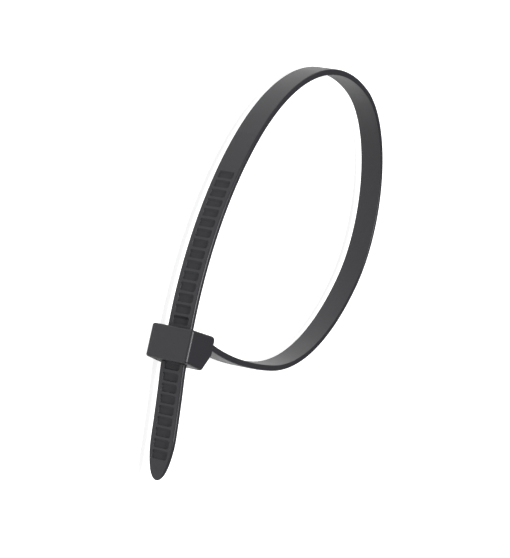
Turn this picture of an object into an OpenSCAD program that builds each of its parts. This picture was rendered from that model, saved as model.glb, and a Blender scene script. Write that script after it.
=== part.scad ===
// Cable tie pulled into a loop: head with a locking pawl, strap with a ladder of pockets, and tail,
// moulded as one piece. The loop lies flat in the XY plane and the strap's width runs along Z.
// The origin is the middle of the loop's round end, where a round bundle seats.

/* [Strap] */
// Width of the strap
strap_w = 4.8; // [3.6:0.1:6.4]
// Thickness of the strap
strap_t = 1.2; // [1:0.05:1.5]
// Rounding of the two edges on the strap's outer face
outer_edge_r = 0.35; // [0.15:0.05:0.45]
// Rounding of the two edges on the strap's inner face
inner_edge_r = 0.2; // [0.1:0.05:0.4]

/* [Loop] */
// Radius of the long side above the head, at the middle of the strap
side_r = 60; // [50:1:75]
// How far the long side turns, in degrees
side_turn = 39; // [30:1:45]
// Radius of the shoulder that follows it
shoulder_r = 52; // [44:1:62]
// How far the shoulder turns, in degrees
shoulder_turn = 64; // [56:1:72]
// Radius of the loop's round end, the seat of the bundle
end_r = 25.7; // [22:0.1:29]
// How far the round end turns, in degrees
end_turn = 113; // [110:1:125]
// Radius of the bend that leads back towards the head
return_r = 50; // [42:1:60]
// How far that bend turns, in degrees
return_turn = 52; // [42:1:58]

/* [Head] */
// Thickness of the head's walls on both sides of the strap
side_wall = 1.65; // [0.9:0.05:2.5]
// Height of the head, along the strap that passes through it
head_h = 6.2; // [5.6:0.1:8]
// Thickness of the wall in front of the pawl
front_wall = 1.1; // [0.8:0.05:1.6]
// Depth of the head behind the strap
back_d = 6.05; // [4.5:0.05:7]
// Length of the sloped foot of the back face, along the strap
foot_h = 2.6; // [2:0.1:3.6]
// How much shallower the head is at its foot
foot_in = 2.9; // [1:0.05:3.5]
// Slope of the face where the tail comes out, in degrees
exit_slope = 4; // [0:0.5:6]
// Angle between the head and the strap that passes through it, in degrees
head_lean = 4; // [0:0.5:5]
// Rounding of the two corners at the head's back, seen from the side
corner_r = 0.85; // [0.3:0.05:1]
// Rounding of the front face's edges above and below, and of the edge above the foot
front_r = 0.4; // [0.2:0.05:0.6]
// Rounding of the head's edges all round its two side faces
rim_r = 0.6; // [0.2:0.05:0.7]

/* [Root] */
// Height of the strap's root above the middle of the head
root_y = 1.8; // [1:0.05:1.85]
// Angle at which the strap leaves the back face, in degrees
root_angle = 10; // [0:1:20]
// Length of the strap's end inside the head
root_in = 0.85; // [0.5:0.05:2]
// Radius of the fillets between the root and the back face
root_fillet_r = 0.35; // [0.2:0.05:0.45]

/* [Channel and pawl] */
// Clearance round the strap in the head's channel
channel_gap = 0.15; // [0.08:0.01:0.25]
// Size of the funnel at the mouth of the channel
lead_in = 0.4; // [0.2:0.05:0.6]
// Clearance between the pawl, its bay and the pockets it engages
pawl_gap = 0.12; // [0.08:0.01:0.2]
// Thickness of the pawl's tongue
pawl_t = 0.9; // [0.6:0.05:1.2]
// Room behind the tongue for the pawl to swing
swing = 0.75; // [0.3:0.05:1]
// Thickness of the web on which the pawl hinges
hinge_t = 0.45; // [0.35:0.05:0.6]
// Length of that web
hinge_l = 0.6; // [0.4:0.05:0.8]
// Depth of the pawl's bay below the head's top
bay_depth = 1.4; // [1.2:0.05:1.8]
// How far the pawl's tip stays inside the head
tip_inset = 0.5; // [0.3:0.05:0.7]

/* [Ladder] */
// Pitch of the pockets
pitch = 2.06; // [1.9:0.01:2.4]
// Number of pockets
pockets = 27; // [20:1:40]
// Distance from the tail's tip to the middle of the first pocket
first_pocket = 4.8; // [4.2:0.1:6]
// Length of a pocket, along the strap
pocket_l = 1.65; // [1.4:0.05:1.7]
// Width of the plain rail on each side of the pockets
rail_w = 0.85; // [0.7:0.05:1.1]
// Depth of a pocket
pocket_d = 0.25; // [0.25:0.05:0.5]
// Rounding of a pocket's corners
pocket_r = 0.45; // [0.2:0.05:0.6]
// Length of the ramp at the end of a pocket that lifts the pawl
ramp_l = 0.5; // [0.2:0.05:0.6]

/* [Tail] */
// Length of the tail, from the middle of the head to the tip
tail_l = 25; // [22:0.5:60]
// Radius of the bend where the tail leaves the head
exit_r = 16; // [12:1:30]
// How far the tail turns there, in degrees
exit_turn = 9.5; // [4:0.5:12]
// Radius of the gentle bend back towards the tip
tail_r = 140; // [80:5:200]
// Length over which the tail narrows to its tip
tip_l = 10; // [7:0.5:12]
// Length over which the tip thins to its end
thin_l = 2.4; // [1.5:0.1:4]

/* [Hidden] */
$fn = 96;
// Each bend overlaps the next by this much, and every second one is this much slimmer, so that
// neighbours fuse without sharing a surface
lap = 0.1;
slimmer = 0.005;
// Degrees between the points of a rounded corner
arc_step = 15;
half_w = strap_w / 2;
half_t = strap_t / 2;
half_h = head_h / 2;
pocket_w = strap_w - 2 * rail_w;
// The head round its channel. The front wall is towards -X, and the pawl hangs behind it
slot_half_t = half_t + channel_gap;
slot_half_w = half_w + channel_gap;
head_w = 2 * (slot_half_w + side_wall);
head_front = slot_half_t + pawl_t + swing + front_wall;
head_back = slot_half_t + back_d;
foot_x = head_back - foot_in;
bay_top = half_h - bay_depth;
// Degrees between the points of the tip's outline
nose_step = 6;
// Reach of a cut past the face that it opens, and of a join into what it joins
past = 1;
sunk = 0.05;

// Headings are degrees from +X. The strap runs up through the head and clockwise round the loop
function ahead(h) = [cos(h), sin(h)];
function right(h) = [sin(h), -cos(h)];
function leaned(p) =
    [p[0] * cos(head_lean) + p[1] * sin(head_lean), p[1] * cos(head_lean) - p[0] * sin(head_lean)];

// A bend is [radius, turn], with a turn to the right positive
function bend_end(p, h, b) = p + b[0] * sign(b[1]) * (right(h) - right(h - b[1]));
function path_point(bends, start, h, n) = n == 0 ? start
    : bend_end(path_point(bends, start, h, n - 1), path_heading(bends, h, n - 1), bends[n - 1]);
function path_heading(bends, h, n) = n == 0 ? h : path_heading(bends, h, n - 1) - bends[n - 1][1];

// The bend that leaves p at heading h and passes through q
function bend_to(p, h, q) = let(side = (q - p) * right(h), turn = 2 * atan2(side, (q - p) * ahead(h)))
    [(q - p) * (q - p) / (2 * abs(side)), turn];
// Two bends with a common tangent, from p at heading h to q at heading g
function joining_bends(p, h, q, g) =
    let(v = q - p, t = ahead(h) + ahead(g), k = 2 * (1 - ahead(h) * ahead(g)),
        d = (sqrt((v * t) * (v * t) + k * (v * v)) - v * t) / k,
        middle = (p + q + d * (ahead(h) - ahead(g))) / 2,
        first = bend_to(p, h, middle))
    [first, bend_to(middle, h - first[1], q)];

channel_top = [0, half_h];
main_bends = [[side_r, side_turn], [shoulder_r, shoulder_turn], [end_r, end_turn], [return_r, return_turn]];
root = leaned([head_back, root_y]);
root_heading = 180 - head_lean - root_angle;
return_point = path_point(main_bends, channel_top, 90, 4);
return_heading = path_heading(main_bends, 90, 4);
loop_bends = concat(main_bends, joining_bends(return_point, return_heading, root, root_heading + 360 *
    round((return_heading - root_heading) / 360)));
// The round end is the third bend
seat_start = path_point(loop_bends, channel_top, 90, 2);
seat = seat_start + end_r * right(path_heading(loop_bends, 90, 2));
// The tail's bends, from the head's exit downwards to the tip
exit_l = exit_r * exit_turn * PI / 180;
tail_turn = (tail_l - half_h - exit_l) / tail_r * 180 / PI;
tail_bends = [[exit_r, -exit_turn], [tail_r, tail_turn]];

// Point and heading of the strap at a length s above the middle of the head
function along(s) = s < -half_h ? turned(bend_place(tail_bends, -channel_top, -90, -half_h - s, 0))
    : s < half_h ? [[0, s], 90] : bend_place(loop_bends, channel_top, 90, s - half_h, 0);
function turned(place) = [place[0], place[1] + 180];
function bend_place(bends, start, heading, s, n) =
    let(b = bends[n], l = b[0] * abs(b[1]) * PI / 180, p = path_point(bends, start, heading, n),
        h = path_heading(bends, heading, n), part = b[1] * s / l)
    s > l && n < len(bends) - 1 ? bend_place(bends, start, heading, s - l, n + 1)
        : [bend_end(p, h, [b[0], part]), h - part];
function pocket_s(n) = -tail_l + first_pocket + n * pitch;

// A polygon whose corners are given as [x, y, radius], with each corner rounded
function rounded(c) = [for (i = [0:len(c) - 1])
    let(n = len(c), p = [c[i][0], c[i][1]], a = c[(i + n - 1) % n], b = c[(i + 1) % n],
        u = ([a[0], a[1]] - p) / norm([a[0], a[1]] - p), v = ([b[0], b[1]] - p) / norm([b[0], b[1]] - p),
        half = acos(max(-1, min(1, u * v))) / 2, r = c[i][2], mid = p + (u + v) / norm(u + v) * r / sin(half),
        from = p + u * r / tan(half) - mid, to = p + v * r / tan(half) - mid,
        side = sign(from[0] * to[1] - from[1] * to[0]), sweep = (180 - 2 * half) * side,
        steps = max(1, ceil(abs(sweep) / arc_step)))
    each r == 0 ? [p] : [for (k = [0:steps]) let(q = sweep * k / steps)
        mid + [from[0] * cos(q) - from[1] * sin(q), from[0] * sin(q) + from[1] * cos(q)]]];

// The strap's section, with its outer face towards +X and its width along Y
module strap_section(slim) {
    t = half_t - slim;
    w = half_w - slim;
    polygon(rounded([[t, w, outer_edge_r], [-t, w, inner_edge_r],
        [-t, -w, inner_edge_r], [t, -w, outer_edge_r]]));
}

// A straight length of strap from point p at heading h
module straight(p, h, length, slim) {
    translate([p[0], p[1], 0])
        rotate([0, 0, h])
            rotate([90, 0, 90])
                linear_extrude(length) strap_section(slim);
}

// A bend of the strap that starts at point p and heading h
module bend(p, h, b, slim) {
    extra = lap / b[0] * 180 / PI;
    centre = p + b[0] * sign(b[1]) * right(h);
    translate([centre[0], centre[1], 0])
        if (b[1] > 0)
            rotate([0, 0, h + 90 - b[1] - extra])
                rotate_extrude(angle = b[1] + extra) translate([b[0], 0]) strap_section(slim);
        else
            rotate([0, 0, h - 90])
                rotate_extrude(angle = extra - b[1]) translate([b[0], 0]) mirror([1, 0]) strap_section(slim);
}

// The strap from the tail's tip, through the head and round the loop to its root
module strap() {
    difference() {
        union() {
            difference() {
                for (n = [0:len(tail_bends) - 1])
                    bend(path_point(tail_bends, -channel_top, -90, n + 1),
                        path_heading(tail_bends, -90, n + 1) + 180,
                        [tail_bends[n][0], -tail_bends[n][1]], n % 2 == 0 ? 0 : slimmer);
                tip_cut();
            }
            straight(-channel_top, 90, head_h + lap, slimmer);
            for (n = [0:len(loop_bends) - 1])
                bend(path_point(loop_bends, channel_top, 90, n), path_heading(loop_bends, 90, n),
                    loop_bends[n], n % 2 == 0 ? 0 : slimmer);
            straight(root - lap * ahead(root_heading), root_heading, root_in + lap, 0);
        }
        for (n = [0:pockets - 1]) pocket(along(pocket_s(n)));
    }
}

// What the tail loses to its tip: both edges curve in to a nose, and the nose thins to its end
module tip_cut() {
    tip = path_point(tail_bends, -channel_top, -90, len(tail_bends));
    translate([tip[0], tip[1], 0])
        rotate([0, 0, path_heading(tail_bends, -90, len(tail_bends)) + 180]) {
            rotate([90, 0, 0]) beside_nose(tip_l, half_w + slimmer);
            beside_nose(thin_l, half_t + slimmer);
        }
}

// The space beside half an ellipse that has its nose at the origin, as thick as the strap is wide
module beside_nose(length, half) {
    reach = half_w + past;
    linear_extrude(2 * reach, center = true)
        difference() {
            translate([-past, -reach]) square([length + past, 2 * reach]);
            polygon([for (a = [-90:nose_step:90]) [length * (1 - cos(a)), half * sin(a)]]);
        }
}

// The cutter for one pocket. Its steep wall faces the tail, and its ramp faces the loop
module pocket(place) {
    half_l = pocket_l / 2;
    floor = half_t - pocket_d;
    top = half_t + past;
    corners = [[-half_l, -pocket_w / 2, pocket_r], [half_l, -pocket_w / 2, pocket_r],
        [half_l, pocket_w / 2, pocket_r], [-half_l, pocket_w / 2, pocket_r]];
    translate([place[0][0], place[0][1], 0])
        rotate([0, 0, place[1]])
            intersection() {
                translate([0, 0, -pocket_w / 2])
                    linear_extrude(pocket_w)
                        polygon([[-half_l, top], [-half_l, floor], [half_l - ramp_l, floor],
                            [half_l, half_t], [half_l, top]]);
                translate([0, top, 0])
                    rotate([90, 0, 0])
                        linear_extrude(past + 2 * pocket_d) polygon(rounded(corners));
            }
}

// The solid head: its outline from the side, with a rounded rim round both side faces
module head_body() {
    foot_y = -half_h - (head_front + foot_x) * tan(exit_slope);
    outline = [[-head_front, half_h, front_r], [head_back, half_h, corner_r],
        [head_back, foot_h - half_h, front_r], [foot_x, foot_y, corner_r], [-head_front, -half_h, front_r]];
    rotate([0, 0, -head_lean])
        hull()
            for (a = [0:arc_step:90])
                linear_extrude(head_w - 2 * rim_r * (1 - sin(a)), center = true)
                    offset(delta = -rim_r * (1 - cos(a))) polygon(rounded(outline));
}

// The slot that the strap passes through, with a funnel at the mouth
module channel() {
    slot_wall(-head_h, 2 * head_h, 0);
    hull() {
        slot_wall(half_h - lead_in, sunk, 0);
        slot_wall(half_h + lead_in, sunk, 2 * lead_in);
    }
}

// A stretch of the slot from height y, made larger all round by wider
module slot_wall(y, length, wider) {
    translate([-slot_half_t - wider, y, -slot_half_w - wider])
        cube([2 * (slot_half_t + wider), length, 2 * (slot_half_w + wider)]);
}

// The bay behind the front wall, open to the channel and at the exit, in which the pawl swings
module pawl_bay() {
    front = front_wall - head_front;
    low = -half_h - past;
    linear_extrude(pocket_w + 2 * pawl_gap, center = true)
        polygon([[leaned([front, bay_top])[0], bay_top], [0, bay_top], [0, low], leaned([front, low])]);
}

// The pawl: a tongue that hangs from the top of its bay on a thin web, with a tooth in each pocket
// that it reaches
module pawl() {
    tip = tip_inset - half_h;
    face = -slot_half_t;
    back = face - pawl_t;
    web_face = face - (pawl_t - hinge_t) / 2;
    web_back = web_face - hinge_t;
    web_end = bay_top - hinge_l / 2;
    linear_extrude(pocket_w, center = true)
        polygon([[web_back, bay_top + sunk], [web_face, bay_top + sunk], [web_face, web_end],
            [face, bay_top - hinge_l], [face, tip], [(face + back) / 2, tip], [back, tip + pawl_t / 2],
            [back, bay_top - hinge_l], [web_back, web_end]]);
    for (n = [0:pockets - 1])
        if (pocket_s(n) - pocket_l / 2 > tip && pocket_s(n) + pocket_l / 2 < web_end)
            pawl_tooth(pocket_s(n));
}

// A tooth in the pocket whose middle is at height y: flat towards the tail, so that the strap can't
// go back, and sloped towards the loop
module pawl_tooth(y) {
    foot = -slot_half_t - sunk;
    crest = pocket_d - pawl_gap - half_t;
    low = y - pocket_l / 2 + pawl_gap;
    high = y + pocket_l / 2 - pawl_gap;
    linear_extrude(pocket_w - 2 * pocket_r, center = true)
        polygon([[foot, low], [crest, low], [crest, high - ramp_l], [-half_t, high], [foot, high]]);
}

// The fillets where the strap's root meets the head's back face, above and below
module root_fillets() {
    out = [cos(root_angle), -sin(root_angle)];
    up = [sin(root_angle), cos(root_angle)];
    rotate([0, 0, -head_lean])
        linear_extrude(strap_w - 2 * outer_edge_r, center = true)
            for (side = [-1, 1]) {
                reach = root_fillet_r * tan(45 - side * root_angle / 2);
                corner = [head_back, root_y + side * half_t / cos(root_angle)];
                on_head = corner + [0, side * reach];
                on_strap = corner + reach * out;
                middle = on_strap + side * root_fillet_r * up;
                difference() {
                    polygon([on_head - [sunk, 0], corner - [sunk, 0] - side * sunk * up,
                        on_strap - side * sunk * up, on_strap, middle, on_head]);
                    translate(middle) circle(root_fillet_r);
                }
            }
}

// The whole tie, moved so that the middle of the loop's round end is at the origin
module cable_tie() {
    color("#2b2b2d")
        translate([-seat[0], -seat[1], 0]) {
            strap();
            difference() {
                head_body();
                channel();
                pawl_bay();
            }
            pawl();
            root_fillets();
        }
}

cable_tie();
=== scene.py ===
"""Looks of the cable tie: black moulded nylon, lying on a white floor in soft light."""

import math

import bpy
from mathutils import Matrix, Vector


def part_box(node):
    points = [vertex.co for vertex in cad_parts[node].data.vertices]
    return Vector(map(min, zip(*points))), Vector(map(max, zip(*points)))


MM = 0.001

# The camera: where it is, the point on the strap's middle plane that it looks at, how many degrees
# it is rolled, and its focal length in mm on a sensor whose long side has the given length
CAMERA_AT = Vector((-367.7, -25.3, 143.8)) * MM
CAMERA_AIM = Vector((-30.15, -18.91, 0.0)) * MM
CAMERA_ROLL = 100.32
SENSOR_SIZE = 24.0
FOCAL_LENGTH = 80.76

# The floor lifts itself to white for the camera, and less far for reflections. It keeps the tie's
# shadow
FLOOR_SIZE = 1.5
FLOOR_COLOUR = 0.8
CAMERA_LIFT = 0.85
GLOSSY_LIFT = 0.2

# A softbox and a narrow strip, both high up on the camera's side, in a dim room. Each is given as
# [width, length, how far it is moved along Y, watts]
LAMP_DISTANCE = 1.8
LAMP_ELEVATION = math.radians(74)
SOFTBOX = [1.4, 1.4, 0.2, 9.7]
STRIP = [0.04, 1.3, 0.3, 31.0]
ROOM_LEVEL = 0.05

# The tie's surface: its colour, and for the plain skin and for the pockets the two ends of the
# roughness, the strength of the reflections and the radius that softens the edges. The pockets are
# rougher, and their weaker reflections are painted shade in these recesses. Then the size and depth
# of the skin's grain, the size of the clouds in its gloss, and how many samples soften an edge
NYLON = (0.031, 0.0305, 0.0355, 1)
PLAIN_SKIN = [0.36, 0.44, 0.5, 0.06 * MM]
POCKET_SKIN_AND_SHADE = [0.45, 0.55, 0.35, 0.3 * MM]
SKIN_GRAIN = 0.35 * MM
SKIN_DEPTH = 0.002 * MM
CLOUD_SIZE = 6.0 * MM
EDGE_SAMPLES = 8

# Half the width of a pocket and the strap's thickness between the pockets, with some slack, and the
# length of the tip below the first pocket
POCKET_HALF_W = 1.56 * MM
FULL_THICKNESS = 1.18 * MM
TIP_LENGTH = 3.5 * MM

# How far below a face the search for the strap's opposite face starts, and how closely the normals
# of the two faces have to oppose each other
SEARCH_START = 0.001 * MM
OPPOSED = -0.95


def new_material(name):
    """A material, with its node tree and its Principled shader."""
    material = bpy.data.materials.new(name)
    material.use_nodes = True
    tree = material.node_tree
    return material, tree, tree.nodes["Principled BSDF"]


def noise(tree, grain):
    """Noise fixed to the object, with features of about the given size."""
    place = tree.nodes.new("ShaderNodeTexCoord")
    texture = tree.nodes.new("ShaderNodeTexNoise")
    texture.inputs["Scale"].default_value = 1 / grain
    tree.links.new(place.outputs["Object"], texture.inputs["Vector"])
    return texture.outputs["Fac"]


def nylon(name, smoothest, roughest, specular, edge_r):
    """Black nylon with a cloudy gloss, a fine moulded skin and softened edges."""
    material, tree, shader = new_material(name)
    shader.inputs["Base Color"].default_value = NYLON
    shader.inputs["Specular IOR Level"].default_value = specular
    cloud = tree.nodes.new("ShaderNodeMapRange")
    cloud.inputs["To Min"].default_value = smoothest
    cloud.inputs["To Max"].default_value = roughest
    tree.links.new(noise(tree, CLOUD_SIZE), cloud.inputs["Value"])
    tree.links.new(cloud.outputs["Result"], shader.inputs["Roughness"])
    edge = tree.nodes.new("ShaderNodeBevel")
    edge.samples = EDGE_SAMPLES
    edge.inputs["Radius"].default_value = edge_r
    skin = tree.nodes.new("ShaderNodeBump")
    skin.inputs["Distance"].default_value = SKIN_DEPTH
    tree.links.new(noise(tree, SKIN_GRAIN), skin.inputs["Height"])
    tree.links.new(edge.outputs["Normal"], skin.inputs["Normal"])
    tree.links.new(skin.outputs["Normal"], shader.inputs["Normal"])
    return material


def in_pocket(obj, face, tip_end):
    """Whether a face above the tip is narrow, and not on a full thickness of the strap."""
    wide = any(abs(obj.data.vertices[v].co.z) > POCKET_HALF_W for v in face.vertices)
    if wide or face.center.y < tip_end:
        return False
    start = face.center - face.normal * SEARCH_START
    hit, place, normal, _ = obj.ray_cast(start, -face.normal)
    opposite = hit and normal.dot(face.normal) < OPPOSED
    return not (opposite and (place - face.center).length > FULL_THICKNESS)


def dress(obj):
    """Gives the tie its skin, which is rougher in the pockets and reflects less there as painted
    shade, and smooth shading.
    """
    obj.data.materials.clear()
    obj.data.materials.append(nylon("black_nylon", *PLAIN_SKIN))
    # The pockets' material reflects less than the plain skin: painted shade in the recesses
    obj.data.materials.append(nylon("black_nylon_shaded_in_pockets", *POCKET_SKIN_AND_SHADE))
    tip_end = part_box("cable_tie")[0].y + TIP_LENGTH
    for face in obj.data.polygons:
        face.material_index = 1 if in_pocket(obj, face, tip_end) else 0
    obj.data.shade_smooth()


def for_rays(tree, kind, factor, base):
    """The given base, plus the factor for rays of one kind."""
    path = tree.nodes.new("ShaderNodeLightPath")
    total = tree.nodes.new("ShaderNodeMath")
    total.operation = "MULTIPLY_ADD"
    tree.links.new(path.outputs[kind], total.inputs[0])
    total.inputs[1].default_value = factor
    if isinstance(base, float):
        total.inputs[2].default_value = base
    else:
        tree.links.new(base, total.inputs[2])
    return total.outputs["Value"]


def make_floor(level):
    """A white floor under the tie."""
    bpy.ops.mesh.primitive_plane_add(size=FLOOR_SIZE, location=(0, 0, level))
    floor = bpy.context.object
    floor.name = "floor"
    material, tree, shader = new_material("white_floor")
    shader.inputs["Base Color"].default_value = (FLOOR_COLOUR, FLOOR_COLOUR, FLOOR_COLOUR, 1)
    shader.inputs["Roughness"].default_value = 1.0
    shader.inputs["Specular IOR Level"].default_value = 0.0
    shader.inputs["Emission Color"].default_value = (1, 1, 1, 1)
    for_camera = for_rays(tree, "Is Camera Ray", CAMERA_LIFT, 0.0)
    lift = for_rays(tree, "Is Glossy Ray", GLOSSY_LIFT, for_camera)
    tree.links.new(lift, shader.inputs["Emission Strength"])
    floor.data.materials.append(material)


def hang_lamp(name, width, length, moved, watts):
    """An area lamp that faces down towards the tie, with its length along Y."""
    data = bpy.data.lights.new(name, "AREA")
    data.shape = "RECTANGLE"
    data.size = width
    data.size_y = length
    data.energy = watts
    lamp = bpy.data.objects.new(name, data)
    aside = -LAMP_DISTANCE * math.cos(LAMP_ELEVATION)
    lamp.location = (aside, moved, LAMP_DISTANCE * math.sin(LAMP_ELEVATION))
    lamp.rotation_euler.y = LAMP_ELEVATION - math.pi / 2
    bpy.context.scene.collection.objects.link(lamp)


def make_room():
    """A dim, even room, which the camera sees as white."""
    world = bpy.data.worlds.new("room")
    bpy.context.scene.world = world
    world.use_nodes = True
    tree = world.node_tree
    background = tree.nodes["Background"]
    background.inputs["Color"].default_value = (1, 1, 1, 1)
    level = for_rays(tree, "Is Camera Ray", 1 - ROOM_LEVEL, ROOM_LEVEL)
    tree.links.new(level, background.inputs["Strength"])


def make_camera():
    """The photograph's view: a long lens, looking down at the lying tie, rolled on its side."""
    data = bpy.data.cameras.new("camera")
    data.sensor_width = SENSOR_SIZE
    data.lens = FOCAL_LENGTH
    camera = bpy.data.objects.new("camera", data)
    bpy.context.scene.collection.objects.link(camera)
    back = (CAMERA_AT - CAMERA_AIM).normalized()
    level_right = Vector((0, 0, 1)).cross(back).normalized()
    level_up = back.cross(level_right)
    roll = math.radians(CAMERA_ROLL)
    right = level_right * math.cos(roll) + level_up * math.sin(roll)
    up = back.cross(right)
    turn = Matrix((right, up, back)).transposed().to_4x4()
    camera.matrix_world = Matrix.Translation(CAMERA_AT) @ turn
    bpy.context.scene.camera = camera


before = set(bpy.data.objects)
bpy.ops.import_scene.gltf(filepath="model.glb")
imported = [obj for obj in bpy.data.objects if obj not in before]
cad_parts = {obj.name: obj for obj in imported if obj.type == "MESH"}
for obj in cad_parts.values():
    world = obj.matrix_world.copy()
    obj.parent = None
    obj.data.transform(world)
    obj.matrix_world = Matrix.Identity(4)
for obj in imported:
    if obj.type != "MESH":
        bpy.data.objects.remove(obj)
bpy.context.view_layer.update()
make_camera()
make_room()
hang_lamp("softbox", *SOFTBOX)
hang_lamp("strip", *STRIP)
dress(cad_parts["cable_tie"])
make_floor(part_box("cable_tie")[0].z)
bpy.context.scene.view_settings.view_transform = "Standard"
